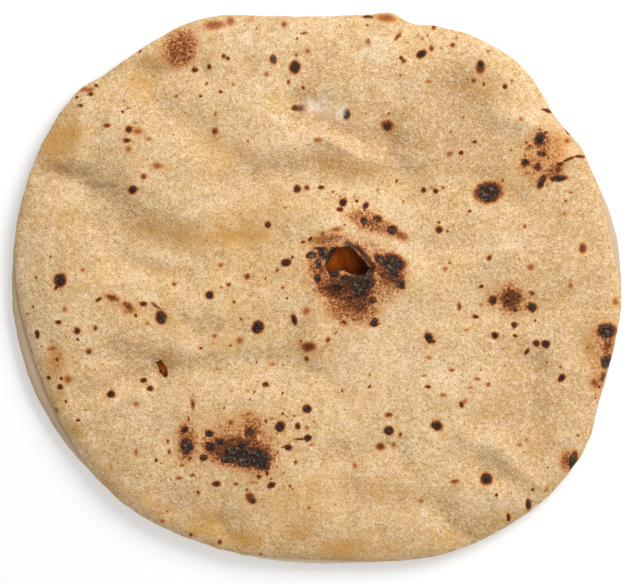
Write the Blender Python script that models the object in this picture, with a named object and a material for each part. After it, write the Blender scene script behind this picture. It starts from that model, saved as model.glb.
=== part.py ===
"""Chapati flatbread, puffed and partly settled.

A round of wholemeal dough whose two thin skins are joined at the rim around a hollow
pocket. The top skin has folds and domes, a burst hole near the middle and a small tear.
The lower skin lies flat and rolls up at the sides, where it bulges out past the top skin.

Frame: +Z up, origin on the surface the bread lies on, under the middle of its outline,
+X along its longer width. Tables and functions work in millimetres.
"""
import math

import bmesh
import bpy

# Driving dimensions, mm
LONG_WIDTH = 190.0       # along X; the tables below are drawn for this width
DRAWN_WIDTH = 190.0
SKIN = 1.6               # thickness of the top skin and of the lower skin
SEAM_HEIGHT = 5.6        # where the top skin meets the lower skin's wall
SEAM_LIFT = 0.35         # the seam's extra height for each mm that the wall stands out
SEAM_WAVE = 0.5          # the seam's gentle rise and fall round the bread
SEAM_WAVES = 3
SEAM_WAVE_START = 0.6    # radians
DOME_RISE = 5.8          # middle of the top skin above the seam
DOME_POWER = 6.5         # how flat the dome's middle is
DOME_ROUNDNESS = 0.64    # how steeply it rises at the seam
RELIEF_ONSET = 1.6       # how soon folds and domes reach full height inside the seam
DOME_FALLOFF = 1.3       # how quickly a small dome fades towards its radius
CONTACT_SHARE = 0.83     # share of the radius that lies flat on the surface

# Pocket between the skins, as shares of the seam radius
POCKET_SHARE = 0.95
POCKET_EDGE_HEIGHT = 4.9
POCKET_ARCH_POWER = 10   # how square the pocket's roof meets its edge
POCKET_FLOOR_RINGS = ((0.93, 3.5), (0.89, 2.5), (0.80, SKIN))

# Mesh fineness
TOP_CELLS = 38           # grid cells across the top skin
POCKET_CELLS = 26        # grid cells across the pocket
WALL_STEPS = 6           # rings down the side wall

METRES = 0.001 * LONG_WIDTH / DRAWN_WIDTH

# Outline: (angle in degrees from +X, radius)
RIM = (
    (0, 95.2), (12, 94.8), (22, 93.3), (29, 92.9), (35, 91.3), (41, 92.6), (48, 94.0), (57, 92.5),
    (65, 89.8), (70, 87.4), (75, 88.6), (80, 86.3), (90, 84.5), (100, 86.0), (113, 91.1),
    (127, 92.4), (135, 93.7), (140, 96.3), (150, 96.7), (165, 95.8), (180, 95.6), (195, 94.6),
    (208, 93.1), (220, 91.3), (232, 89.9), (245, 87.5), (258, 86.5), (272, 86.4), (283, 87.9),
    (296, 92.2), (308, 95.0), (316, 96.8), (325, 97.6), (331, 97.2), (338, 94.8), (350, 94.5),
)

# Where the lower skin's wall stands out past the top skin: (angle, half spread, width)
BULGES = ((197, 30, 3.9), (268, 20, 1.7), (10, 14, 2.3))

# Folds: (points along the line, height, width to the left, width to the right)
FOLDS = (
    (((-90, 35.3), (-82, 35), (-74, 33.5)), -2.0, 5, 9),
    (((-72, 31), (-67, 27), (-61, 21.5), (-56, 16), (-48, 12.5), (-40, 10), (-32, 11.5), (-24, 13.5),
      (-13, 15)), -2.9, 8.5, 12),
    (((-27, 30.5), (-20, 32.5), (-13, 34.3), (-2, 34.8), (5, 33), (12, 30.3), (19, 31), (25, 34)),
     -3.3, 7, 9),
    (((-4, 51), (3, 49.5), (9, 47), (15, 44), (22, 43.5)), -1.4, 7, 5),
    (((-64, -22), (-55, -24), (-48, -27), (-38, -26.5), (-28, -25), (-18, -24.5), (-8, -24),
      (2, -27.5)), -2.2, 5.5, 8),
    (((-54, -6), (-47, -12), (-48, -19), (-49, -24)), -1.1, 5, 5),
    (((-74, -33), (-66, -31.5), (-58, -29), (-50, -28)), -1.2, 5, 5),
    (((-61, 9), (-54, 6.5), (-49, 4), (-42, 3)), -1.6, 5, 5),
    (((-52, 61), (-44, 53), (-36, 46), (-28, 41), (-22, 37)), -1.6, 6, 6),
    (((-56, 68), (-50, 66.5), (-44, 66.5), (-37, 68)), -1.6, 5, 5),
    (((-75, 39), (-73.5, 46), (-73, 55)), 1.2, 6, 5),
    (((-90, 19), (-80, 18.5), (-70, 20)), -1.2, 5, 5),
    (((-73, -50), (-66, -60), (-52, -70), (-38, -77)), 0.9, 5, 5),
    (((68, -24), (67, -32), (68, -41)), -1.4, 5, 5),
    (((46, -46), (56, -50), (62, -54), (66, -60)), 1.1, 5, 5),
    (((38, -68), (42, -75), (50, -80)), -1.2, 5, 5),
    (((58, 52.5), (70, 50.5), (80, 46)), 1.1, 5, 5),
    (((66, 31), (71, 38), (76, 39.5), (84, 40.7)), 1.2, 5, 5),
    (((92, 4), (88, -2), (84, -8), (82.5, -20)), -1.2, 5, 5),
    (((28, 12), (38, 11), (48, 13)), -1.1, 5, 5),
    (((56, -7), (66, -8), (76, -4), (84, 1)), -1.1, 5, 5),
    (((-9, 58), (0, 57), (7, 59)), -1.1, 5, 5),
)

# Domes where steam lifted the skin, and dents below zero: (x, y, radius, height)
DOMES = (
    (9, 6, 28, 2.4), (-21, -50, 15, 1.0), (55, -66, 10, 1.2), (-42, -18, 8, 1.0),
    (-12, 46, 13, 0.9), (-36, 28, 13, 0.9), (62, 58, 14, 0.8), (20, -58, 20, 0.8),
    (-60, 46, 15, 1.1), (60, -4, 8, 0.6), (-77, -8, 13, 0.8), (35, 46, 27, -3.6),
    (43, 59, 12, -1.5), (62, 14, 14, 0.8), (17, 72, 12, 0.8), (-30, -34, 16, 0.8),
)

# Openings through the top skin
BURST_HOLE = (
    (2.8, 7.0), (3.2, 10.0), (4.5, 11.8), (7.0, 12.2), (10.0, 12.4), (12.0, 10.8), (14.5, 8.0),
    (16.2, 5.8), (15.0, 4.4), (12.5, 3.8), (10.3, 4.6), (8.0, 5.8), (5.5, 5.3), (3.8, 4.7),
)
SMALL_TEAR = (
    (-50.3, -23.2), (-49.5, -24.2), (-49.0, -26.4), (-47.2, -28.0), (-46.4, -27.3),
    (-46.9, -25.0), (-47.9, -23.6), (-48.7, -22.3), (-49.3, -23.1),
)


def around(table, angle):
    """Value at an angle, in degrees, of a table that closes on itself, on a smooth curve."""
    angle %= 360.0
    count = len(table)
    after = next((i for i, entry in enumerate(table) if entry[0] > angle), 0)
    places = [(after + step) % count for step in (-2, -1, 0, 1)]
    angles = [table[place][0] for place in places]
    values = [table[place][1] for place in places]
    for i in (1, 2, 3):
        while angles[i] < angles[i - 1]:
            angles[i] += 360.0
    if angle < angles[1]:
        angle += 360.0
    span = angles[2] - angles[1]
    t = (angle - angles[1]) / span
    slope_in = (values[2] - values[0]) / (angles[2] - angles[0]) * span
    slope_out = (values[3] - values[1]) / (angles[3] - angles[1]) * span
    return ((2 * t ** 3 - 3 * t ** 2 + 1) * values[1] + (t ** 3 - 2 * t ** 2 + t) * slope_in
            + (3 * t ** 2 - 2 * t ** 3) * values[2] + (t ** 3 - t ** 2) * slope_out)


def bulge(angle):
    """How far the side wall stands out past the seam at an angle in degrees."""
    total = 0.0
    for middle, spread, width in BULGES:
        off = abs((angle - middle + 180.0) % 360.0 - 180.0) / spread
        if off < 1.0:
            total += width * math.cos(off * math.pi / 2) ** 1.5
    return total


def seam_radius(angle):
    return around(RIM, angle) - bulge(angle)


def seam_height(angle):
    turn = math.radians(angle)
    wave = SEAM_WAVE * math.sin(SEAM_WAVES * turn + SEAM_WAVE_START)
    return SEAM_HEIGHT + SEAM_LIFT * bulge(angle) + wave


def polar(x, y):
    return math.degrees(math.atan2(y, x)), math.hypot(x, y)


def fold_height(points, height, left, right, x, y):
    """A ridge (or a valley, below zero) along a line, with its own width on each side."""
    nearest = None
    for (ax, ay), (bx, by) in zip(points, points[1:]):
        dx, dy = bx - ax, by - ay
        t = ((x - ax) * dx + (y - ay) * dy) / (dx * dx + dy * dy)
        t = min(1.0, max(0.0, t))
        gap = math.hypot(x - ax - t * dx, y - ay - t * dy)
        if nearest is None or gap < nearest[0]:
            nearest = (gap, dx * (y - ay) - dy * (x - ax))
    width = left if nearest[1] > 0 else right
    return height * math.exp(-(nearest[0] / width) ** 2)


def top_height(x, y):
    """Upper face of the top skin above a point of the plan."""
    angle, radius = polar(x, y)
    share = min(1.0, radius / seam_radius(angle))
    dome = (1.0 - share ** DOME_POWER) ** DOME_ROUNDNESS
    relief = sum(fold_height(*fold, x, y) for fold in FOLDS)
    for dome_x, dome_y, spread, height in DOMES:
        off = math.hypot(x - dome_x, y - dome_y) / spread
        relief += height * math.exp(-(off * DOME_FALLOFF) ** 2)
    return seam_height(angle) + DOME_RISE * dome + relief * min(1.0, RELIEF_ONSET * dome)


def round_grid(cells, radius_at, height_at):
    """A square grid bent into a disc: the square's rings become rings of the outline."""
    shape = bmesh.new()
    bmesh.ops.create_grid(shape, x_segments=cells, y_segments=cells, size=1.0)
    for vert in shape.verts:
        a, b = vert.co.x, vert.co.y
        if abs(a) < 1e-6 and abs(b) < 1e-6:
            share, turn = 0.0, 0.0
        elif abs(a) > abs(b):
            share, turn = a, math.pi / 4 * b / a
        else:
            share, turn = b, math.pi / 2 - math.pi / 4 * a / b
        if share < 0:
            share, turn = -share, turn + math.pi
        angle = math.degrees(turn)
        reach = share * radius_at(angle)
        x, y = reach * math.cos(turn), reach * math.sin(turn)
        vert.co = (x, y, height_at(x, y, share))
    return shape


def add_ring(shape, edges, place):
    """Extrude an open edge loop and move each new vertex to place(angle, radius, height)."""
    made = bmesh.ops.extrude_edge_only(shape, edges=edges)["geom"]
    for vert in (item for item in made if isinstance(item, bmesh.types.BMVert)):
        angle, _ = polar(vert.co.x, vert.co.y)
        radius, height = place(angle)
        turn = math.radians(angle)
        vert.co = (radius * math.cos(turn), radius * math.sin(turn), height)
    return [item for item in made if isinstance(item, bmesh.types.BMEdge)]


def border(shape):
    return [edge for edge in shape.edges if edge.is_boundary]


def wall_point(angle, step):
    """Point of the side wall: a Bezier arc from the seam out, down and under the bread."""
    rim, out = around(RIM, angle), bulge(angle)
    seam, height = rim - out, seam_height(angle)
    t = step / WALL_STEPS
    weights = ((1 - t) ** 3, 3 * (1 - t) ** 2 * t, 3 * (1 - t) * t ** 2, t ** 3)
    radii = (seam, seam + 2 * out, rim, rim * CONTACT_SHARE)
    radius = sum(w * r for w, r in zip(weights, radii))
    return radius, (weights[0] + weights[1]) * height


def make_object(name, shape):
    """Close the last open loop, turn the faces outwards and make a mesh object in metres."""
    if border(shape):
        bmesh.ops.contextual_create(shape, geom=border(shape))
    bmesh.ops.recalc_face_normals(shape, faces=shape.faces)
    bmesh.ops.scale(shape, vec=(METRES, METRES, METRES), verts=shape.verts)
    mesh = bpy.data.meshes.new(name)
    shape.to_mesh(mesh)
    shape.free()
    obj = bpy.data.objects.new(name, mesh)
    bpy.context.collection.objects.link(obj)
    return obj


def outer_body():
    """The whole bread without its pocket: top skin, side wall and flat underside."""
    shape = round_grid(TOP_CELLS, seam_radius, lambda x, y, share: top_height(x, y))
    for step in range(1, WALL_STEPS + 1):
        add_ring(shape, border(shape), lambda angle, step=step: wall_point(angle, step))
    return make_object("chapati", shape)


def pocket_body():
    """The hollow: its roof is one skin under the top face, its floor one skin above the base."""
    def roof(x, y, share):
        arch = math.sqrt(max(0.0, 1.0 - share ** POCKET_ARCH_POWER))
        return POCKET_EDGE_HEIGHT + (top_height(x, y) - SKIN - POCKET_EDGE_HEIGHT) * arch

    shape = round_grid(POCKET_CELLS, lambda angle: POCKET_SHARE * seam_radius(angle), roof)
    for share, height in POCKET_FLOOR_RINGS:
        add_ring(shape, border(shape),
                 lambda angle, share=share, height=height: (share * seam_radius(angle), height))
    return make_object("pocket", shape)


def opening_body(name, outline):
    """An upright prism with a torn outline, from inside the pocket to above the bread."""
    shape = bmesh.new()
    bottom, top = 2 * SKIN + 1.0, SEAM_HEIGHT + 2 * DOME_RISE
    verts = [shape.verts.new((x, y, bottom)) for x, y in outline]
    face = shape.faces.new(verts)
    made = bmesh.ops.extrude_face_region(shape, geom=[face])["geom"]
    lifted = [item for item in made if isinstance(item, bmesh.types.BMVert)]
    bmesh.ops.translate(shape, vec=(0, 0, top - bottom), verts=lifted)
    return make_object(name, shape)


def cut(body, tool):
    """Subtract a hidden tool from the body."""
    tool.hide_render = True
    tool.display_type = "WIRE"
    step = body.modifiers.new("cut_" + tool.name, "BOOLEAN")
    step.operation = "DIFFERENCE"
    step.solver = "EXACT"
    step.object = tool


def toasted_dough():
    """Wholemeal dough baked dry: pale brown, dull."""
    material = bpy.data.materials.new("toasted_dough")
    material.use_nodes = True
    shader = material.node_tree.nodes["Principled BSDF"]
    shader.inputs["Base Color"].default_value = (0.66, 0.45, 0.24, 1.0)
    shader.inputs["Roughness"].default_value = 0.75
    shader.inputs["Metallic"].default_value = 0.0
    return material


def stand_over_origin(body, tools):
    """Slide everything so that the bread's outline is centred on the origin."""
    xs = [vert.co.x for vert in body.data.vertices]
    ys = [vert.co.y for vert in body.data.vertices]
    middle = ((min(xs) + max(xs)) / 2, (min(ys) + max(ys)) / 2)
    for obj in [body] + tools:
        for vert in obj.data.vertices:
            vert.co.x -= middle[0]
            vert.co.y -= middle[1]


def build():
    for old in list(bpy.data.objects):
        bpy.data.objects.remove(old, do_unlink=True)
    bread = outer_body()
    tools = [pocket_body(), opening_body("burst_hole", BURST_HOLE),
             opening_body("small_tear", SMALL_TEAR)]
    stand_over_origin(bread, tools)
    for tool in tools:
        cut(bread, tool)
    bread.data.materials.append(toasted_dough())
    bread.data.shade_smooth()


build()
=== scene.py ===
"""Chapati flatbread, finished: one puffed round of griddled wholemeal dough.

The bread replaces its plain solid in the frame. Shape tables are in millimetres over the
bread's plan, with +X to the right and +Y up the plan, and are scaled to the frame's width.
"""
import math
from functools import partial

import bmesh
import bpy
import numpy as np
from mathutils import Matrix, Vector, noise


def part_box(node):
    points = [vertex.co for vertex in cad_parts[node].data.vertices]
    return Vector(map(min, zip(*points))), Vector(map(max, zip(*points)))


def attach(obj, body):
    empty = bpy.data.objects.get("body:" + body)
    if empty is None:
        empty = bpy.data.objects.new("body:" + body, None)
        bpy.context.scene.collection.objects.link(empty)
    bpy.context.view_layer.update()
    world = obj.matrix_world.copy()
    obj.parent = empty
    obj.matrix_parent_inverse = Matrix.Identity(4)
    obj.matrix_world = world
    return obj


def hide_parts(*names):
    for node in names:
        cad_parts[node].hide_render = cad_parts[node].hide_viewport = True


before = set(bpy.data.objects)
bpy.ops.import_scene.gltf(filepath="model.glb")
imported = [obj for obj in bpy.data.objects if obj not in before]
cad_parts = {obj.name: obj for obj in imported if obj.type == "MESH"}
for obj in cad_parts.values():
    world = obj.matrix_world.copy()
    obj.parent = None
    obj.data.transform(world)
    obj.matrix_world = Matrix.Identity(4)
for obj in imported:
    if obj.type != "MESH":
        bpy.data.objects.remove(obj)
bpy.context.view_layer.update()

LOW, HIGH = (Vector(corner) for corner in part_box("chapati"))

# Sizes, mm
DRAWN_WIDTH = 190.26             # the long width that the tables are drawn for
MM = (HIGH.x - LOW.x) / DRAWN_WIDTH
SHIFT = (0.07, 0.0)              # moves the drawn plan onto the frame's origin
SKIN = 1.5                       # thickness of a skin of baked dough
EDGE_CIRCLE = 90                 # the edge's unevenness is read on a circle of this radius
SEAM_HEIGHT = 5.6
SEAM_LIFT = 0.35                 # how much higher the seam runs for each mm of bulge
SEAM_WAVE, SEAM_WAVES, SEAM_WAVE_START = 0.5, 3, 0.6
BULGE_POWER = 1.5
DOME_RISE = 5.8
DOME_POWER = 6.5
DOME_ROUNDNESS = 0.64
DOME_FALLOFF = 1.3               # bell widths in the radius of a dome
RELIEF_ONSET = 1.6               # how fast the relief grows inward from the seam
DEEPEST_WRINKLE = -0.75
WALL_TUCK = (0.25, 0.1)          # wall's start inside the seam, and more for each mm of bulge
WALL_DROP = (0.8, 0.12)          # and below the seam, in the same form
WALL_WIDEST = 0.33               # where along its arc the wall reaches the rim
CONTACT_SHARE = 0.83             # of the rim's radius, where the wall meets the underside
UNDERSIDE_INSET = 0.015          # and how far inside that its own grid ends
POCKET_SHARE = 0.95              # of the seam's radius
POCKET_EDGE_HEIGHT = 4.9
POCKET_ARCH_POWER = 10
POCKET_FLOOR_RINGS = ((0.935, 3.2), (0.89, 2.2), (0.82, 1.4))    # (share of the seam, height)
LEVEL_FLOOR_RADIUS = 70          # the pocket's floor is level past this radius
TOOTH = 0.3                      # length of a step along a torn edge
CUT_TOP = 22.0                   # height above everything, for the cuts through the top skin

# Mesh fineness
WORK_LEVEL = -1.0                # where the underside is refined before it is set in place
TOP_CELLS = 176
UNDER_CELLS = 88
POCKET_CELLS = 80
WALL_STEPS = 9
LIP_STEPS = ((0.25, -0.25), (0.12, -0.6))    # (out past the seam, height over it)

# Outline: (angle in degrees from +X, radius)
RIM = (
    (0, 95.2), (12, 94.8), (22, 93.3), (29, 92.9), (35, 91.3), (41, 92.6), (48, 94.0), (57, 92.5),
    (65, 89.8), (70, 87.4), (75, 88.6), (80, 86.3), (90, 84.5), (100, 86.0), (113, 91.1),
    (127, 92.4), (135, 93.7), (140, 96.3), (150, 96.7), (165, 95.8), (180, 95.6), (195, 94.6),
    (208, 93.1), (220, 91.3), (232, 89.9), (245, 87.5), (258, 86.5), (272, 86.4), (283, 87.9),
    (296, 92.2), (308, 95.0), (316, 96.8), (325, 97.6), (331, 97.2), (338, 94.8), (350, 94.5),
)

# Where the lower skin's wall stands out past the top skin: (angle, half spread, width)
BULGES = ((197, 30, 3.9), (268, 20, 1.7), (10, 14, 2.3))

# Folds: (points along the line, height, width to the left, width to the right)
FOLDS = (
    (((-90, 35.3), (-82, 35), (-74, 33.5)), -2, 3.5, 9),
    (((-72, 31), (-67, 27), (-61, 21.5), (-56, 16), (-48, 12.5), (-40, 10), (-32, 11.5), (-24, 13.5),
      (-13, 15)), -2.9, 8.5, 12),
    (((-27, 30.5), (-20, 32.5), (-13, 34.3), (-2, 34.8), (5, 33), (12, 30.3), (19, 31), (25, 34)),
     -3.5, 6.5, 9),
    (((-4, 51), (3, 49.5), (9, 47), (15, 44), (22, 43.5)), -2, 7, 2.6),
    (((-1, 47.6), (5, 46), (11, 43.4), (16, 42)), 1.1, 1.8, 3),
    (((-64, -22), (-55, -24), (-48, -27), (-38, -26.5), (-28, -25), (-18, -24.5), (-8, -24), (2, -27.5)),
     -2.2, 5.5, 8),
    (((-54, -6), (-47, -12), (-48, -19), (-49, -24)), -1.2, 4, 5),
    (((-74, -33), (-66, -31.5), (-58, -29), (-50, -28)), -1.2, 4, 5),
    (((-61, 9), (-54, 6.5), (-49, 4), (-42, 3)), -1.6, 4, 5),
    (((-58, 11), (-50, 9), (-42, 6.5)), 0.7, 3, 3),
    (((-52, 61), (-44, 53), (-36, 46), (-28, 41), (-22, 37)), -1.6, 6, 6),
    (((-56, 68), (-50, 66.5), (-44, 66.5), (-37, 68)), -1.9, 3.5, 4),
    (((-75, 39), (-73.5, 46), (-73, 55)), 1.2, 6, 3),
    (((-90, 19), (-80, 18.5), (-70, 20)), -1.2, 4, 5),
    (((-73, -50), (-66, -60), (-52, -70), (-38, -77)), 0.9, 4, 4),
    (((68, -24), (67, -32), (68, -41)), -1.5, 4, 4),
    (((46, -46), (56, -50), (62, -54), (66, -60)), 1.2, 4, 3.5),
    (((52, -57), (58, -59), (64, -63)), -1.2, 3.5, 4),
    (((38, -68), (42, -75), (50, -80)), -1.4, 4, 5),
    (((58, 52.5), (70, 50.5), (80, 46)), 1.2, 4, 4),
    (((66, 31), (71, 38), (76, 39.5), (84, 40.7)), 1.4, 3, 5),
    (((92, 4), (88, -2), (84, -8), (82.5, -20)), -1.4, 4, 4),
    (((4, -51), (14, -51), (24, -50)), -0.9, 4, 5),
    (((10, -66), (22, -66), (34, -70)), -0.9, 5, 5),
    (((28, 12), (38, 11), (48, 13)), -1.1, 5, 5),
    (((56, -7), (66, -8), (76, -4), (84, 1)), -1.1, 4, 5),
    (((-9, 58), (0, 57), (7, 59)), -1.1, 4, 4),
    (((-10, 64), (-2, 68), (2, 76)), -0.8, 3, 3),
    (((-40, -13.5), (-34, -14.5), (-27, -13)), -1.1, 4, 4),
    (((-38, -77), (-31, -75), (-26, -80)), -0.8, 4, 3),
)

# Finer creases and lips, too narrow for the solid: same form
CREASES = (
    (((9.5, 13.6), (12.6, 12.3), (15.3, 9.4), (17.6, 6.4)), 1.1, 1.3, 0.9),
    (((-0.5, 12.6), (3, 13.2), (7, 13.2)), 0.5, 1.5, 0.8),
    (((-24, 15), (-21, 12.5), (-20, 10)), -0.8, 1.5, 2),
    (((-88, 35.4), (-83, 35.8), (-78, 37.6)), -0.8, 1, 1.6),
    (((1.8, 78.7), (10, 79.8), (17, 80.4), (30, 80.4)), -0.56, 1.2, 1.2),
    (((-16, 80), (-8, 78)), -0.48, 1.2, 1.5),
    (((-42, -10), (-38, -14), (-36, -18)), -0.56, 1.5, 2),
    (((-55, 0), (-45, -3.5), (-42, -10)), -0.56, 1.5, 2),
    (((-80, -47.6), (-67.7, -38), (-55, -33.5)), 0.8, 2, 2),
    (((-73.4, -49.5), (-66, -43.3), (-61.5, -40.7)), -0.64, 1.5, 1.5),
    (((89.3, 1), (88, -2.2), (85, -7)), -0.8, 1.2, 1.6),
    (((60.7, -50), (64.7, -54.3), (67, -58)), -0.64, 1.5, 1.5),
    (((75, -47), (84, -47)), 0.64, 1.2, 1.5),
    (((40, -73.7), (45.3, -77.2), (48, -79.4)), -0.8, 1.4, 1.4),
    (((4, 47), (9, 44), (13.5, 41.2)), 0.8, 1, 1.6),
    (((10, 47), (13, 46), (14, 44)), -0.8, 2, 2.5),
    (((62, 51.8), (70.4, 50.6), (75, 51)), 0.72, 1.3, 1.6),
    (((68, 33), (71.5, 37.5), (75.5, 39.3), (83.5, 40.7)), 0.96, 1, 1.6),
    (((-17.8, -21), (-8.4, -24.2), (1, -27.3)), -0.48, 1.5, 2),
)

# Domes where steam lifted the skin, and dents below zero: (x, y, radius, height)
DOMES = (
    (9, 6, 28, 2.4), (-21, -50, 15, 1), (55, -66, 10, 1.2), (-42, -18, 8, 1), (-12, 46, 13, 0.9),
    (-36, 28, 13, 0.9), (62, 58, 14, 0.8), (20, -58, 20, 0.8), (-60, 46, 15, 1.1), (60, -4, 8, 0.6),
    (-77, -8, 13, 0.8), (35, 46, 27, -3.6), (43, 59, 12, -1.5), (62, 14, 14, 0.8), (17, 72, 12, 0.8),
    (-30, -34, 16, 0.8), (42, 63, 9, -1.8), (21, 44, 8, -1.3), (54, 31, 10, -1.5), (30, 67, 8, 0.9),
    (0, 53, 6, -1), (64, -25, 10, -1.6), (53, -56, 7, -1.2), (62, -63, 8, 1.3), (6, -58, 12, -1.5),
    (24, -54, 9, -1), (-44, -70, 8, -1.3), (-30, -74, 7, -1.1), (84, 12, 9, -1), (70, 26, 8, -0.9),
    (36, -34, 14, 0.9),
)

# Openings through the top skin
BURST_HOLE = (
    (2.8, 7), (3.2, 10), (4.5, 11.8), (7, 12.2), (10, 12.4), (12, 10.8), (14.5, 8),
    (16.2, 5.8), (15, 4.4), (12.5, 3.8), (10.3, 4.6), (8, 5.8), (5.5, 5.3), (3.8, 4.7),
)
SMALL_TEAR = (
    (-50.3, -23.2), (-49.5, -24.2), (-49, -26.4), (-47.2, -28), (-46.4, -27.3),
    (-46.9, -25), (-47.9, -23.6), (-48.7, -22.3), (-49.3, -23.1),
)

# Toasted marks, grouped by how far they are baked: (x, y, length, width, tilt in degrees).
# A round mark gives only x, y and its size, and a level one no tilt.
CHARRED = (
    (-6.8, 68.6, 3.6, 3, 90), (9.3, 54.1, 3, 2, 90), (32.6, 72.6, 3, 2, 30), (15.9, 84.5, 2.5, 0.8),
    (51, 69.6, 2), (69.3, 46.1, 4, 3, 60), (64.7, 38.8, 2.2), (69.8, 32.9, 4.2, 1.8, 65),
    (75, 34, 5, 1.8, 5), (53.3, 29.6, 7.8, 6, 10), (71.5, 55.1, 3, 0.7, -20), (-57.2, 30.3, 2.4),
    (-79.8, 2.3, 3.8, 3.5, 90), (-81, 0.2, 1.5, 0.9, 60), (-87.1, -14.6, 2.4, 1.1, 90),
    (-48.4, -9.2, 3.8, 3, 100), (-33.3, -2.4, 2.2), (-54, -29, 1.8, 1.3, 20), (-64.1, -33.2, 2.3, 2),
    # round the burst hole
    (1.9, 10.6, 4, 3, 90), (-1.7, 10, 3, 2), (0.5, 7.5, 3, 2, 90), (0.2, 2.9, 3, 2.2, 100),
    (5.4, 4, 3.5, 2.2), (9.5, 2.4, 5, 3, -10), (14.2, 1.4, 7.5, 6, 20), (13.3, -1.2, 6, 4.5),
    (6.3, 0, 3.5, 2.6), (16.9, 4.8, 3.2, 2, 60), (20.5, 8.2, 6.5, 2.6, -35), (23.4, 7.5, 7.5, 5.5, -10),
    (26.1, 1.2, 3, 2.4, 90), (23.8, 4.6, 4.5, 3, -60), (0.8, 12.2, 3, 0.7, 5),
    (23.4, 17.9, 3.2, 2.6, -20), (14.6, 20.6, 2.4), (8.1, 26.5, 2.2), (15.2, 25.3, 1.5),
    (17.8, -10.9, 2.4), (-9.6, 7.7, 2.8, 2.2, 20), (-7, -10.1, 3, 1.6, 100),
    (-18.4, -12.2, 3.6, 3.2, 60), (66.9, -6.1, 3, 2.8), (61.5, -7, 1.3), (55.3, -14.9, 1.9),
    (71.1, -17.6, 2.4), (34.7, -15.6, 3, 2, 110), (76.1, -28.2, 2.4, 1.8, 60), (90.2, -13.6, 5.5, 4.5),
    (90.1, -23.1, 4, 3.4, 70), (-74.3, -41.4, 0.9, 0.6), (-41.2, -44.3, 2.4, 2.2),
    (-40.4, -49.1, 5, 3.8, 90), (-33.4, -45.5, 2.4, 2), (-32.9, -49.5, 3.5, 3.2),
    (-30.1, -48, 3.2, 2.6),
    # the big burn, a cracked crust
    (-26, -51.5, 6.5, 6), (-22, -52.5, 8, 6.5), (-18, -53, 7.5, 6.5, -10), (-23, -49, 4, 2.6, 20),
    (-17, -55, 4.5, 3, -20), (-28, -53, 4, 3), (-11.4, -43.1, 3.2, 2.6, 60), (-3, -37.7, 2.4),
    (-2.8, -46.7, 2.2, 1.6, 30), (-9, -49.6, 2.2, 1.7), (-14.2, -61.4, 2.4, 1.5, 30),
    (22.3, -44.5, 2.8, 2.2), (37.2, -42.9, 3.2, 2.4, -10), (52.7, -59.6, 3.4, 3.2), (55.8, -64.7, 0.8),
    (79.9, -54.1, 5.5, 2.2, 80), (65.9, -67.5, 3, 1.5, 100),
)
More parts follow.
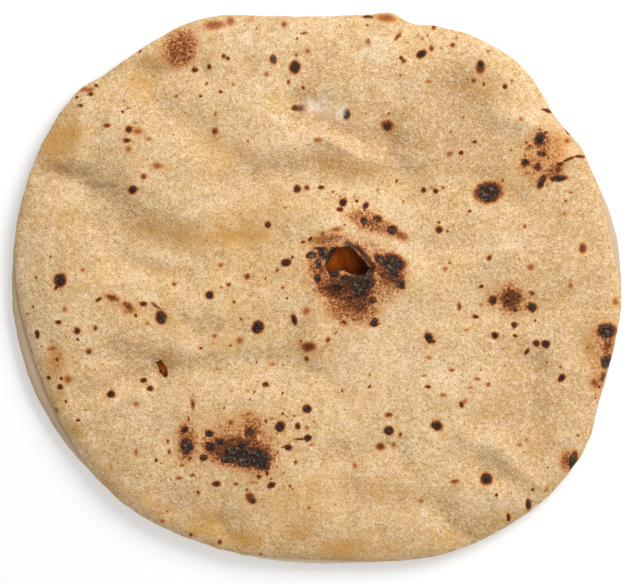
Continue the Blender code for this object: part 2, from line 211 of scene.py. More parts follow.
DARK = (
    (-44.2, 74.3, 0.9), (-41.5, 72.5, 1), (-39.7, 71.4, 0.6), (-38, 67.6, 1.8, 1.3), (-33.5, 68.7, 1.4),
    (-55.1, 73.8, 0.8), (-68.7, 63, 1), (-70.3, 60.2, 1.3), (-74.8, 59.3, 0.9), (-73.5, 56.6, 0.8),
    (-60.3, 54.5, 0.8), (-58.4, 49.1, 2), (-59, 45.7, 2, 1.3), (-36.3, 59.4, 0.8), (-19, 80.6, 0.6),
    (-6.2, 77.5, 0.6), (-4, 79.1, 2, 0.5), (-29, 72, 1.2), (-27.7, 71.3, 1.2), (-13.6, 71, 3, 2, 100),
    (-4.2, 62, 1), (-29.9, 60.7, 1), (-6.8, 55.9, 2, 1.6), (22, 50.2, 2.6), (26.3, 71.4, 1.2),
    (15.7, 81.8, 0.6), (-6.1, 30.7, 2.2), (1.3, 31.1, 1.8, 1.2), (24.9, 33.4, 0.7), (33.2, 30.3, 1.5),
    (52, 63.2, 0.9), (58.5, 62.5, 1.6, 1.3, 90), (49.2, 45.3, 1), (44.9, 42, 1.2), (71.1, 48.1, 1.2),
    (69.8, 41.5, 3.2, 1.8, -20), (68.6, 37.4, 2.8, 2, 90), (75.5, 38.4, 2.2, 1.2),
    (78, 39.7, 4.5, 0.8, 25), (82, 40.8, 3.2, 0.9), (78.5, 48.3, 2.5, 0.5, -35), (57.7, 33.4, 0.6),
    (37, 29.9, 1.6), (-87.4, 2.9, 0.6), (-88.4, -6, 0.6), (-90.2, -8.2, 0.6), (-82.9, 9.6, 0.6),
    (-80.3, -10.7, 1.8, 1), (-74.5, -13.5, 1.8), (-74.4, -16.1, 0.7), (-80.9, -22.3, 0.8),
    (-83.4, -28, 1.1), (-79.5, -28.2, 0.9), (-79.9, -30.9, 1.7), (-67.8, -3.6, 2.2, 1, 30),
    (-56.3, -8.7, 1), (-53.9, -5.1, 2, 1.5), (-35.9, -18.8, 0.8), (-51.9, -31.5, 2, 1.5),
    (10.2, -3.3, 2), (17.2, -3.9, 2.5), (10.2, -5.7, 1.5), (20.3, 3.6, 1.5), (8.3, -10.7, 1),
    (18.8, 21.4, 2.8, 2, -20), (7.2, 24.2, 2, 1.2), (12.4, 26.9, 0.9), (-2.1, 15.1, 1.6, 1, 30),
    (-4.3, 14.1, 1.5, 0.8, 30), (-7.6, 9.2, 0.9), (-15.2, 19.5, 1.8), (-9.2, -3.4, 0.7),
    (-15.9, -30.2, 1.8, 1.5), (34.5, -30.8, 1.6, 1.1, -20), (16.3, -30.9, 0.7), (-18.9, -23.3, 0.5),
    (47.5, 23.8, 0.9), (38, 20.1, 0.7), (38, 17.9, 2), (41.1, 7.6, 0.6), (51.1, 0.4, 1.1),
    (59.2, -4.3, 1.8), (62.7, -2.8, 1.4), (54.7, -3.9, 3, 2.6, 60), (49.4, -9.1, 1.6, 1.2),
    (61.3, -11.6, 1.8), (61.7, -15, 1.4, 0.9), (67.9, -10.3, 0.8), (68.2, -17.3, 2),
    (65.3, -20, 2, 1.1, 60), (36.2, -16.7, 1.1), (84.3, -18.8, 0.7), (-78.2, -35.5, 0.8),
    (-50, -53.7, 1.2, 1, 90), (-31.2, -61, 2.4, 1.6, 10), (-39.3, -53, 1), (-35.1, -52.8, 2.6, 2),
    (-39.9, -40.9, 1.5, 0.5, 90), (-20.8, -44.8, 3.6, 2.6, 80), (-15.8, -41.7, 1),
    (-5.9, -43.1, 1.9, 1.6, 90), (-5.2, -47.1, 3, 0.6), (-15.5, -57.5, 1.6, 1, 90),
    (-18, -58.5, 2, 0.9), (-20, -66.2, 2.2, 1.8), (-10.7, -32.8, 0.6), (-20.9, -34.9, 0.6),
    (-28.8, -37.5, 0.6), (7.8, -32.3, 0.6), (45, -36.4, 1.8, 1.4, 90), (81.4, -46, 0.7),
    (67.1, -62.9, 0.8), (59.7, -71.7, 2.4, 1.2, 100), (86.4, -29.6, 1), (88, -31, 0.8),
)
BROWN = (
    (9.5, -0.5, 19, 9, -5), (12, -3, 12, 9, -60), (22.5, 5, 12, 8, -50), (-24, -51, 22, 10, -8),
    (-60.2, 58, 0.8), (-58.6, 55.8, 0.8), (-65.3, 50.4, 2, 1.4), (-56.3, 51, 0.8), (-53.8, 34.5, 1.8),
    (-43.7, 59.4, 1), (-34.4, 63.3, 0.9), (-31.4, 53.7, 0.8), (-31.7, 48.5, 2), (-10.3, 81.9, 1.6),
    (-6.5, 72.3, 1), (-8.8, 64, 1.2), (-25.9, 63, 0.8), (-5, 55.9, 3.6, 2.2), (22, 50.5, 4, 3.6),
    (22.4, 54.3, 1), (26.1, 66, 0.9), (27, 70.4, 1.5), (25.2, 78.2, 3, 1.2, 50), (-21.4, 45.5, 0.8),
    (-3.2, 31, 1.6), (5, 29.7, 0.8), (35.6, 74.5, 2, 1.5, 90), (36.5, 81.1, 1.5), (42.3, 75.5, 1.5),
    (53.6, 73.7, 1.3, 0.6), (50.9, 68.2, 3), (48.8, 64.4, 1.5), (46.8, 64.9, 0.7), (45.5, 53, 0.8),
    (41.7, 48.6, 0.9), (60.3, 42.6, 0.8), (64.7, 40.9, 0.9), (69.3, 49, 1), (65.1, 45.2, 1),
    (75, 36.5, 3, 2, 90), (71.5, 31.6, 0.9), (79, 29.4, 1.5, 0.6), (39.2, 31, 1), (35.7, 31, 0.8),
    (-68.8, -12.6, 1.8, 1.2, 90), (-70.8, -19.8, 1.8), (-63.5, -3.3, 4.5, 1.8, -20),
    (-58.6, -5.8, 4, 2, -40), (-50, -5.8, 4, 0.8, -35), (-44.4, 0.9, 1.2), (-21.7, 3.3, 1.8),
    (-19.6, 3.4, 0.7), (-15.9, 2.8, 0.8), (-27.4, 0.8, 1.2), (-29.7, -0.1, 0.8), (-25.7, -4.4, 1),
    (-12.4, 5.3, 1.2), (-10.7, 0, 0.9), (12, 22, 1), (14.2, 23.3, 0.8), (-9.6, 25, 0.7),
    (-23.5, -9.9, 1), (-26.8, -18, 1), (-2.6, -18.5, 4.4, 2.8), (-4.8, -16.5, 0.8), (-3.2, -22.3, 1.6),
    (3.4, -16.3, 1.5), (5.7, -14.3, 0.8), (33.1, -27.3, 0.8), (16.4, -27, 0.8), (40.5, 17.5, 0.9),
    (42.2, 19.2, 0.7), (53.5, 9.3, 2, 1.4, 60), (60.3, -3.5, 7.6, 7, 90), (66.9, -1.8, 1.6),
    (82.7, 12.1, 3, 2.4, 90), (77.4, 26.9, 1), (64.5, 19, 1.6, 1, 90), (44.2, -6.1, 2.6, 1.3, 90),
    (71.5, -23.3, 0.9), (75.7, -24.7, 1), (41.9, -25.6, 1.6, 1), (53.2, -30.3, 1.4, 1, 90),
    (-71.9, -38, 1.2, 0.5), (-38.6, -36.3, 3.5, 1.2, 100), (-46.4, -47.8, 1.1),
    (-45.9, -51.1, 1.5, 1, 90), (-42.8, -59.3, 2, 0.8), (-38.6, -58.3, 1.6, 1),
    (-41.9, -55.2, 1.4, 0.8), (-36.9, -63.6, 1.3), (-46.7, -69.7, 0.8), (-39.3, -77, 1.3),
    (-30.2, -79.3, 1.7, 1.5, 90), (-19.3, -32.3, 0.8), (-26.8, -41.9, 1.5), (-18, -42.1, 0.8),
    (-7, -40, 0.8), (-6.7, -54.3, 1.2), (-14.2, -59.4, 0.8), (-25.2, -61.1, 1.6, 0.9),
    (-8.4, -61.7, 0.9), (-7.6, -62.8, 0.7), (-21.7, -63, 0.8), (-20.8, -65.3, 3, 2.6, 90),
    (25.9, -45.6, 1.3), (22.3, -39.6, 2.5, 1.5), (19.7, -49.4, 2.8, 2.2), (-17.5, -83.1, 0.9),
    (42.9, -60.3, 2.6, 1.2, 10), (-20.5, -45, 5, 4.6, 90), (90.5, -18.5, 5, 2.5, 75),
    (89, -28, 4, 1.6, 70),
)
RUSTY = (
    (17, 20, 15, 6, -20), (3, 14.8, 12, 3.2, 5), (10, -6, 15, 9), (1, 6, 12, 6, 100),
    (-42.6, 74.4, 12.5, 10.5, 60), (-32, 81.8, 7, 3, 5), (-72.5, 61.8, 3, 1.5, 20),
    (-70.7, 61.5, 3, 1.5, 20), (-55.5, 48.5, 3, 2), (-52.2, 46, 2, 1.3), (-58.5, 43, 2),
    (-49.6, 37.7, 3.5, 2, -10), (-27, 83, 3, 2.5, 90), (-2.9, 73.5, 1.8), (-15.6, 66.3, 1.5),
    (15.9, 76.5, 2), (21.6, 84, 6.5, 2.5, -5), (31.5, 78.5, 1), (33, 77.5, 1), (34.5, 78.7, 1),
    (34.8, 64.2, 2, 1.2), (0.4, 45.9, 3, 1.5), (4.9, 39.7, 0.9), (18.9, 30.3, 1.2), (43.5, 77.8, 1),
    (60.7, 64.2, 1.2), (41.4, 41.7, 2.5, 1.8, 40), (66.4, 43.5, 2.5), (62.6, 36.9, 1),
    (65.1, 35.5, 1.6), (63.4, 52.3, 1.5), (78, 45.8, 2), (70.2, 44, 9, 5, 80), (73.5, 36, 7, 5, 30),
    (-72.8, 5.5, 1.5), (-78.3, -6.9, 1.6), (-82.4, -18.9, 3, 1.5), (-77.5, -28.6, 3, 2.5, 90),
    (-58.3, -7.3, 4, 2.2), (-52.7, -11.2, 1.2), (-39.5, 5.4, 0.8), (-31.7, -15.1, 1.5),
    (-31.2, -25.4, 1.2), (12, -6.5, 14, 9, -10), (0, 6, 9, 6, 100), (22, 3, 11, 8, -40),
    (5, 15, 10, 3, 5), (8.3, -10.7, 3), (26, 16.2, 5, 3, -30), (7.3, 28.3, 0.9), (11.5, 28.2, 1),
    (5.8, 18, 4, 1.6, 10), (1.8, 16.5, 2), (-29.9, 6.9, 1.8), (-3.4, -7.4, 2.6, 2.2, 90),
    (-24.1, -16.5, 2.2, 2), (-13.8, -23.9, 2, 1), (39.8, 5.8, 1.6), (60.3, -3.5, 9.5, 8.5, 90),
    (66.4, 6.3, 2.4), (78.8, 0.7, 1.7), (76.8, 23, 1.4), (51, -5.5, 1.2), (46.4, -13.2, 1.6, 1),
    (34.8, -21.8, 1.8, 1), (49.8, -28.4, 2, 1.2), (47.6, -31.2, 1.8, 0.8), (93, -4.4, 2.5, 2, 90),
    (86.9, -29.9, 4, 3.5), (90.6, -18, 13, 4, 80), (-81.3, -38.3, 2, 1.5, -60), (-56.3, -36.2, 1.8),
    (-56.2, -51.3, 2.6, 1.2, 90), (-40.5, -48, 12, 6.5, 90), (-28, -49.5, 17, 8, -5),
    (-20.5, -44, 8, 7, 90), (-20, -53.5, 13, 8.5, -15), (-32.2, -54.1, 1.6), (-48.1, -72.7, 1.3),
    (-26.6, -32.1, 0.9), (-21.5, -32.1, 1), (-21.8, -39.4, 4, 1.2, 10), (-14.2, -40.7, 1),
    (-0.9, -41.5, 1), (-3.2, -43.5, 1.4), (-1.7, -48.9, 2, 0.9), (-19.7, -60.5, 3.2, 0.8),
    (-10.3, -57.5, 1), (-2.4, -68.4, 1.5), (11.8, -55.4, 2, 1.4, 120), (32.4, -66.3, 1.4),
    (23.9, -48.8, 1.8), (39.2, -33.4, 2.2, 1.4), (46, -35.2, 1.6), (57.4, -50.6, 0.9), (63.1, -49, 1.5),
    (65.2, -47.4, 1), (77.8, -54, 6.5, 4.5, 85), (71.5, -63.1, 1.5), (47.8, -76.5, 1.1),
)
TANNED = (
    (-50, 74.7, 1.2), (-52.9, 72.7, 1.5), (-32.9, 72.5, 2.5), (-33, 77, 2), (-76, 55.5, 1.5),
    (-62.8, 37.3, 1.5), (-44.8, 53.6, 0.9), (-71.8, 32.5, 2), (-21, 83.4, 2.5), (-10.3, 81.9, 3.2),
    (-10.5, 73.2, 1.2), (17.4, 59.3, 1.5), (12.9, 74.7, 2), (8, 78, 1.5), (23.2, 48.5, 2),
    (28, 74.5, 1.2), (30.2, 28.8, 1), (11.6, 46.6, 0.8), (18.1, 46.2, 0.8), (40, 78.7, 1),
    (40.3, 67.6, 0.8), (44, 49.4, 1), (54.3, 45.7, 1.2), (54.3, 42.8, 0.8), (74.8, 43.6, 2),
    (69.2, 59.4, 2), (61.2, 32, 1), (-73.4, -12, 1.5), (-91.6, -11, 1.5), (9.5, 22.3, 1.5),
    (17.7, 24.5, 1), (-29.4, -11.4, 1), (15, -13.4, 1), (18.8, -18.4, 1), (32.7, -0.5, 1.3),
    (32.4, 22.3, 1.5), (41, 24.3, 1), (36.3, 18.6, 1), (66, 1.6, 1.2), (84, 3.1, 1.5), (81.8, 18.6, 1),
    (61.4, 28.5, 1), (77, -11.4, 1.5), (78.8, -3.3, 1), (-44.1, -38.1, 0.9), (-47.5, -57.6, 1),
    (-34.2, -58.1, 1.2), (-35.6, -54.7, 1.2), (-2.6, -51.9, 1), (12.4, -68.8, 1.2),
    (11.1, -34.5, 1.5, 0.6), (14.2, -44.6, 0.8), (-8.3, -82, 0.8), (39.2, -46, 2.5, 1.6, -50),
    (42.5, -64.4, 1.3, 0.8), (59.6, -53.6, 0.9), (66, -45, 1.2), (69.5, -58.9, 1), (42, -82.1, 1),
    (-24, -49, 26, 17, -5), (12, 4, 32, 24, -10), (-81, -23, 9, 5, 80), (70, 41, 18, 14, 60),
    (60, -4, 16, 10, -10), (88, -20, 8, 20), (-61, -5, 12, 4, -20),
)
BAKED_LEVELS = ((CHARRED, 1.0), (DARK, 0.78), (BROWN, 0.56), (RUSTY, 0.4), (TANNED, 0.22))

# The underside's marks for each of these levels: (how many, smallest, largest)
UNDER_MARKS = ((26, 1.5, 6.0), (60, 0.8, 2.2), (70, 0.8, 3.0), (40, 1.5, 9.0), (20, 8.0, 26.0))
UNDER_MARK_REACH = 76

# Golden, more baked fields of skin: (x, y, length, width, tilt, strength)
GOLDEN = (
    (-80.5, 45, 15, 9, 65, 1), (-76, 47, 8, 7, 65, 0.9), (-55, 63.8, 12, 3, 0, 0.8),
    (-53, 59, 10, 3, -30, 0.5), (-80, 20.5, 11, 4, 0, 0.4), (-54, 17.5, 10, 7, -20, 0.7),
    (-42, 16, 18, 7, -15, 0.8), (-26, 16.5, 18, 7, 0, 1), (-17, 17, 9, 5, 10, 0.8),
    (-50, 5.5, 10, 4, -15, 0.6), (-64, -60, 16, 7, -50, 0.5), (-50, -69, 14, 6, -30, 0.5),
    (-35.5, -74, 10, 8, 0, 0.9), (-24.6, -78.3, 14, 5, -8, 1), (-6.5, -76, 12, 7, 0, 0.8),
    (-32, -72.4, 8, 5, 0, 0.5), (6.2, -82, 14, 6, 0, 1), (12, -80, 8, 5, 0, 0.6),
    (22, -81, 12, 5, 8, 0.5), (42, -78, 14, 5, 22, 0.4), (57, -72, 12, 5, 36, 0.4),
    (-30, 44, 18, 10, -35, 0.5), (-32, 36, 12, 6, -40, 0.4), (-12, 27, 14, 9, 20, 0.45),
    (-22, 23, 12, 7, -10, 0.4), (10, 37, 26, 6, -6, 0.5), (50, 62, 14, 8, 0, 0.5),
    (-23, -8, 14, 9, 0, 0.4), (-30, -17, 10, 7, 0, 0.4), (-47, -21, 8, 6, -40, 0.6),
    (-1, -21, 4, 7, 0, 0.6), (35, -17, 6, 6, 0, 0.5), (-81, -22, 9, 7, 60, 0.8),
    (-81, -33, 8, 6, -60, 0.6), (-75, -44, 5, 5, 0, 0.6), (74, 45, 9, 8, 0, 0.7),
    (72, 38, 12, 9, 0, 0.5), (-10, 5, 30, 14, 0, 0.25), (58, 34, 7, 8, 0, 0.7),
    (84, -16, 5, 12, 0, 0.4), (88, -32, 8, 7, 0, 0.4), (70, -49, 9, 8, 0, 0.4),
    (56, -37, 10, 8, 0, 0.3), (0, -64, 40, 12, 0, 0.3), (-10, -70, 24, 10, 0, 0.3),
    (-24, -40, 30, 8, 0, 0.3), (12, -32, 14, 8, 0, 0.25), (34, 75, 10, 8, 0, 0.3),
    (-45, -10, 18, 8, -20, 0.3), (-52, 69, 12, 5, 0, 0.4), (20, -63, 12, 6, 0, 0.3),
)

# Darker, duller fields of skin, in the same form: partly the skin's own tone, partly painted shade over
# the dents and along the folds
DUSKY = (
    (76, 8, 36, 80, 0, 0.3), (72, -36, 40, 40, 0, 0.25), (30, 48, 24, 14, 0, 0.4),
    (46, 63, 18, 13, 0, 0.8), (44, 56, 36, 18, -20, 0.5), (25, 48, 16, 16, -30, 0.8),
    (28, 42, 12, 10, 0, 0.6), (12, 37.5, 28, 6, -6, 0.6), (-8, 38, 20, 4, 0, 0.5),
    (50, 36, 20, 10, 0, 0.6), (57, 34, 8, 8, 0, 0.5), (40, 48, 32, 24, 0, 0.4),
    (8, 51, 18, 9, -20, 0.6), (-3, 60, 10, 12, 0, 0.6), (0, 68, 8, 12, 0, 0.4), (-5, 53, 8, 4, 0, 0.7),
    (-62, 30, 20, 11, -50, 0.7), (-56, 21, 10, 10, -45, 0.6), (-76, 37, 18, 4, 0, 0.6),
    (-88, 17, 8, 14, 0, 0.4), (-91, 27, 7, 12, 80, 0.3), (-50, 17, 14, 8, -15, 0.4),
    (-57, -17, 16, 8, -20, 0.5), (-48, -22, 9, 6, 0, 0.5), (-55, -27, 18, 4, 0, 0.4),
    (-66, -30, 9, 4, 0, 0.5), (66, -33, 10, 18, 0, 0.5), (76, -35, 7, 7, 0, 0.5),
    (58, -38, 12, 10, 0, 0.3), (70, -50, 12, 14, 0, 0.4), (57, -58, 11, 5, -10, 0.7),
    (52, -74, 22, 7, 15, 0.5), (42, -70, 8, 6, 0, 0.5), (20, -62, 30, 12, 0, 0.3),
    (12, -51, 18, 6, 0, 0.35), (38, 16, 20, 10, 0, 0.4), (55, 3, 12, 10, 0, 0.4),
    (68, -4, 14, 6, 10, 0.5), (75, 23, 16, 14, 0, 0.4), (85, -18, 9, 14, 0, 0.3),
    (-50, 69, 16, 5, 0, 0.8), (-35, 10, 16, 5, 0, 0.3), (-35, -11, 8, 5, 0, 0.6),
    (-25, 55, 14, 8, -30, 0.3), (-45, 56, 10, 8, -40, 0.4), (-48, -4, 10, 3, -35, 0.3),
    (-71, 13, 20, 10, 0, 0.2), (5, -18, 16, 5, 25, 0.5), (-4, -12, 12, 8, 0, 0.3),
    (34, -20, 16, 4, 0, 0.3), (-76, -46, 8, 4, 35, 0.4), (62, 30, 8, 10, 0, 0.3),
    (80, 3, 16, 10, 0, 0.25), (-20, 70, 30, 10, 0, 0.2), (36, 28, 20, 6, 0, 0.2),
    (-64, -60, 18, 7, -50, 0.4), (-46, -68, 8, 6, -20, 0.5), (-82, 2, 16, 14, 0, 0.2),
)

# Paler, floury fields of skin, in the same form
PALE = (
    (-91, 4, 30, 5, 90, 0.7), (-89.5, -18, 22, 5, 100, 0.7), (-83, -38, 22, 5, 115, 0.7),
    (-72, -54, 22, 5, 127, 0.7), (-56, -68, 22, 5, 140, 0.5), (34, -20, 30, 20, -20, 0.4),
    (-9, 46, 22, 8, 0, 0.7), (-36, 28, 26, 8, 5, 0.6), (-48, 42, 22, 16, 0, 0.4),
    (-30, 59, 24, 10, 0, 0.4), (-76, 30, 16, 7, -30, 0.7), (-78, -9, 20, 10, 0, 0.5),
    (-42, -18, 10, 6, 0, 0.6), (-25, -31, 40, 7, 0, 0.5), (20, -27, 46, 16, 0, 0.5),
    (22, 26, 16, 8, -40, 0.9), (28.5, 15, 6, 14, 10, 0.8), (-5, 31, 30, 4, 0, 0.5),
    (-55, -35, 20, 8, 0, 0.4), (-46, 9, 16, 3.5, -12, 0.7), (60, 13, 22, 7, 0, 0.6),
    (17, 74, 12, 10, 0, 0.6), (62, 54, 14, 6, -10, 0.5), (57, -66, 12, 7, 0, 0.8),
    (56, -50, 16, 5, -15, 0.6), (45, -30, 22, 12, 0, 0.4), (24, -78, 12, 5, 0, 0.5),
    (-22, -63, 20, 6, 0, 0.3), (-56, -0.5, 18, 3, -20, 0.6), (-12, 0, 10, 26, 0, 0.3),
    (7, 45, 16, 2.2, -18, 0.7), (-22, 76, 24, 8, 0, 0.4), (27, 63, 14, 6, 0, 0.5),
    (45, 75, 22, 6, -18, 0.4), (70, 60, 14, 6, -50, 0.4), (24, -8, 8, 8, 0, 0.5),
    (48, 2, 12, 14, 0, 0.3), (-68, 44, 14, 10, 0, 0.3), (70, -12, 14, 8, 0, 0.3),
    (78, -48, 8, 5, 0, 0.5), (34, -48, 20, 12, 0, 0.3), (-50, -46, 30, 10, -15, 0.25),
)

# Where fine rusty dots are sprinkled: (x, y, length, width, tilt, share of the skin's cells)
SPRINKLED = (
    (-22, -47, 44, 24, -5, 0.5), (-6, -44, 18, 22, 0, 0.45), (12, 6, 44, 38, -10, 0.3),
    (10, 24, 22, 12, -20, 0.55), (-82, -22, 14, 22, 70, 0.5), (70, 41, 24, 22, 60, 0.5),
    (60, -4, 24, 18, -10, 0.3), (88, -22, 12, 28, 0, 0.45), (-60, -5, 22, 10, -20, 0.3),
    (-42, 72, 24, 14, 0, 0.35), (-24, 79, 34, 10, 0, 0.35), (34, 76, 22, 12, -10, 0.45),
    (36, 28, 26, 12, 0, 0.3), (44, 66, 26, 16, 0, 0.25), (64, -30, 44, 20, 0, 0.2),
    (24, -48, 24, 16, 0, 0.25), (-28, -4, 26, 20, 0, 0.25), (-70, 58, 14, 10, 40, 0.4),
    (-8, -20, 30, 18, 0, 0.3), (74, -56, 16, 18, 0, 0.35), (-20, -66, 40, 10, 0, 0.3),
    (-86, -4, 10, 22, 0, 0.25), (56, 8, 40, 40, 0, 0.15), (-78, 34, 20, 6, 0, 0.3),
)

# Dry flour left on the skin, in the same form; the two marks on the lip above the burst hole are a
# painted highlight along the lip
FLOUR_AND_LIP_HIGHLIGHT = (
    (-1, 56, 7, 4, -10, 1), (3, 58.5, 6, 4, 30, 1), (8, 55, 5, 3, 60, 0.6), (17, 74, 10, 8, 0, 0.3),
    (16.5, 13.2, 3.4, 1.6, -40, 0.5), (7.5, 14.4, 6.5, 1.1, -3, 0.35), (-45, -74.6, 3, 1, -25, 0.8),
    (-36.8, -78.2, 3, 1, -20, 0.8), (-12, 51.5, 5, 3, -40, 0.7), (-15, 78, 30, 10, 0, 0.2),
)

# Round the two openings, where the mesh is finer, in the form of a mark
OPENING_FIELDS = ((9.5, 8, 15, 10, -15), (-48.4, -25.2, 7, 4, -60))

# The skin is untoasted wall below the seam past this share of its radius, and anywhere this low
TOASTED_SHARE, WALL_HEIGHT = 0.97, 3.0

# How high the underside's toasting reaches up the wall, and over what height it fades
UNDER_TOP, UNDER_FADE = 2.2, 1.6

# Where the lower skin bellies up inside, under the openings: (x, y, spread, height)
PILLOWS = ((4.0, 10.5, 6.5, 5.0), (-48.4, -25.2, 6, 4.3))


# ---- Shape of the bread ----

def around(table, degrees):
    """Values at angles of a table that closes on itself, on a smooth curve."""
    turns = np.array([row[0] for row in table], float)
    values = np.array([row[1] for row in table], float)
    turns = np.concatenate((turns[-2:] - 360, turns, turns[:3] + 360))
    values = np.concatenate((values[-2:], values, values[:3]))
    slopes = np.gradient(values, turns)
    slopes[1:-1] = (values[2:] - values[:-2]) / (turns[2:] - turns[:-2])
    at = np.mod(degrees, 360.0)
    i = np.searchsorted(turns, at, side="right") - 1
    span = turns[i + 1] - turns[i]
    t = (at - turns[i]) / span
    return ((2 * t**3 - 3 * t**2 + 1) * values[i] + (t**3 - 2 * t**2 + t) * slopes[i] * span
            + (3 * t**2 - 2 * t**3) * values[i + 1] + (t**3 - t**2) * slopes[i + 1] * span)


def bulge(degrees):
    """How far the side wall stands out past the seam."""
    total = np.zeros_like(degrees, dtype=float)
    for middle, spread, width in BULGES:
        off = np.abs(np.mod(degrees - middle + 180.0, 360.0) - 180.0) / spread
        total += width * np.cos(np.minimum(off, 1.0) * math.pi / 2).clip(0) ** BULGE_POWER
    return total


def grain(x, y, size, seed=0.0):
    """Smooth unevenness between about -1 and 1, with lumps of the given size in mm."""
    return np.array([noise.noise((a / size + seed, b / size - seed, seed * 0.37))
                     for a, b in zip(x, y)])


def rim_radius(degrees):
    """Outline of the bread, with the small unevenness of a hand-rolled edge."""
    turn = np.radians(degrees)
    x, y = EDGE_CIRCLE * np.cos(turn), EDGE_CIRCLE * np.sin(turn)
    return around(RIM, degrees) - 0.15 + 0.22 * grain(x, y, 5.0, 3.1) + 0.12 * grain(x, y, 1.8, 8.4)


def seam_radius(degrees):
    return rim_radius(degrees) - bulge(degrees)


def seam_height(degrees):
    turn = np.radians(degrees)
    wave = SEAM_WAVE * np.sin(SEAM_WAVES * turn + SEAM_WAVE_START)
    return SEAM_HEIGHT + SEAM_LIFT * bulge(degrees) + wave


def along_line(points, height, left, right, x, y):
    """A ridge (or a valley, below zero) along a line, with its own width on each side."""
    nearest = np.full_like(x, 1e9)
    side = np.zeros_like(x)
    for (ax, ay), (bx, by) in zip(points, points[1:]):
        dx, dy = bx - ax, by - ay
        t = np.clip(((x - ax) * dx + (y - ay) * dy) / (dx * dx + dy * dy), 0, 1)
        gap = np.hypot(x - ax - t * dx, y - ay - t * dy)
        closer = gap < nearest
        nearest = np.where(closer, gap, nearest)
        side = np.where(closer, dx * (y - ay) - dy * (x - ax), side)
    return height * np.exp(-(nearest / np.where(side > 0, left, right)) ** 2)


def nearby(marks, x, y, reach):
    """Each mark with the points within reach, how far outside its edge they lie, and its width."""
    for mark in marks:
        mark_x, mark_y, length = mark[:3]
        width = mark[3] if len(mark) > 3 else length
        tilt = mark[4] if len(mark) > 4 else 0
        far = max(length, width) / 2 + reach
        close = np.flatnonzero((np.abs(x - mark_x) < far) & (np.abs(y - mark_y) < far))
        turn = math.radians(tilt)
        aside, up = x[close] - mark_x, y[close] - mark_y
        u = aside * math.cos(turn) + up * math.sin(turn)
        v = up * math.cos(turn) - aside * math.sin(turn)
        share = np.sqrt((2 * u / length) ** 2 + (2 * v / width) ** 2)
        narrow = min(length, width)
        yield mark, close, (share - 1) * narrow / 2, narrow


def coarse_relief(x, y):
    relief = np.zeros_like(x)
    for fold in FOLDS:
        relief += along_line(*fold, x, y)
    for dome_x, dome_y, spread, height in DOMES:
        relief += height * np.exp(-(np.hypot(x - dome_x, y - dome_y) / spread * DOME_FALLOFF) ** 2)
    return relief


def fine_relief(x, y):
    """Creases, lips, dried wrinkles, blisters and the lumpy crust of the burns."""
    relief = 0.55 * grain(x, y, 13.0, 1.7) + 0.36 * grain(x, y, 6.0, 5.2)
    relief += 0.13 * grain(x, y, 2.8, 9.9)
    for crease in CREASES:
        relief += along_line(*crease, x, y)
    crust = np.zeros_like(x)
    for mark, close, off, _ in nearby(CHARRED + DARK, x, y, 0.5):
        edge = np.clip(-off / 0.6 + 0.5, 0, 1) * min(1.0, mark[2] / 3.0)
        crust[close] = np.maximum(crust[close], edge)
    sunk = DEEPEST_WRINKLE * np.tanh(relief / DEEPEST_WRINKLE)
    relief = np.where(relief < 0, sunk, relief)
    return relief + crust * (0.15 + 0.22 * grain(x, y, 1.3, 2.6) + 0.12 * grain(x, y, 0.6, 4.4))


def top_height(x, y, fine=True):
    degrees = np.degrees(np.arctan2(y, x))
    share = np.minimum(1.0, np.hypot(x, y) / seam_radius(degrees))
    dome = (1.0 - share**DOME_POWER) ** DOME_ROUNDNESS
    relief = coarse_relief(x, y)
    if fine:
        relief = relief + fine_relief(x, y)
    return seam_height(degrees) + DOME_RISE * dome + relief * np.minimum(1.0, RELIEF_ONSET * dome)


# ---- Mesh building ----

def plan_of(verts):
    places = np.array([vert.co[:] for vert in verts])
    return places[:, 0], places[:, 1]


def set_places(verts, x, y, z):
    for vert, a, b, c in zip(verts, x, y, z):
        vert.co = (a, b, c)


def round_grid(shape, cells, radius_at):
    """A square grid bent into a flat disc: the square's rings become rings of the outline."""
    verts = bmesh.ops.create_grid(shape, x_segments=cells, y_segments=cells, size=1.0)["verts"]
    a, b = plan_of(verts)
    wide = np.abs(a) > np.abs(b)
    share = np.where(wide, a, b)
    safe = np.where(np.abs(share) < 1e-9, 1.0, share)
    turn = np.where(wide, math.pi / 4 * b / safe, math.pi / 2 - math.pi / 4 * a / safe)
    turn = turn + np.where(share < 0, math.pi, 0.0)
    reach = np.abs(share) * radius_at(np.degrees(turn))
    set_places(verts, reach * np.cos(turn), reach * np.sin(turn), np.zeros_like(reach))
    return verts


def refine(shape, marks, reach, level=0.0):
    """Halve the edges near the marks, on the flat disc at one level and not on its border."""
    edges = [edge for edge in shape.edges
             if not edge.is_boundary and abs(edge.verts[0].co.z - level) < 1e-4]
    middles = np.array([((e.verts[0].co + e.verts[1].co) / 2)[:] for e in edges])
    chosen = np.zeros(len(edges), bool)
    for _, close, off, _ in nearby(marks, middles[:, 0], middles[:, 1], reach + 1):
        chosen[close] |= off < reach
    picked = [edge for edge, yes in zip(edges, chosen) if yes]
    bmesh.ops.subdivide_edges(shape, edges=picked, cuts=1, use_grid_fill=True)


def add_ring(shape, edges, place):
    """Extrude an open loop of edges and move it to place(angles) = (radii, heights)."""
    made = bmesh.ops.extrude_edge_only(shape, edges=edges)["geom"]
    verts = [item for item in made if isinstance(item, bmesh.types.BMVert)]
    x, y = plan_of(verts)
    degrees = np.degrees(np.arctan2(y, x))
    radii, heights = place(degrees)
    turn = np.radians(degrees)
    set_places(verts, radii * np.cos(turn), radii * np.sin(turn), heights)
    return [item for item in made if isinstance(item, bmesh.types.BMEdge) and item.is_boundary]


def border(shape):
    return [edge for edge in shape.edges if edge.is_boundary]


def arc_weights(t):
    return (1 - t) ** 3, 3 * (1 - t) ** 2 * t, 3 * (1 - t) * t**2, t**3


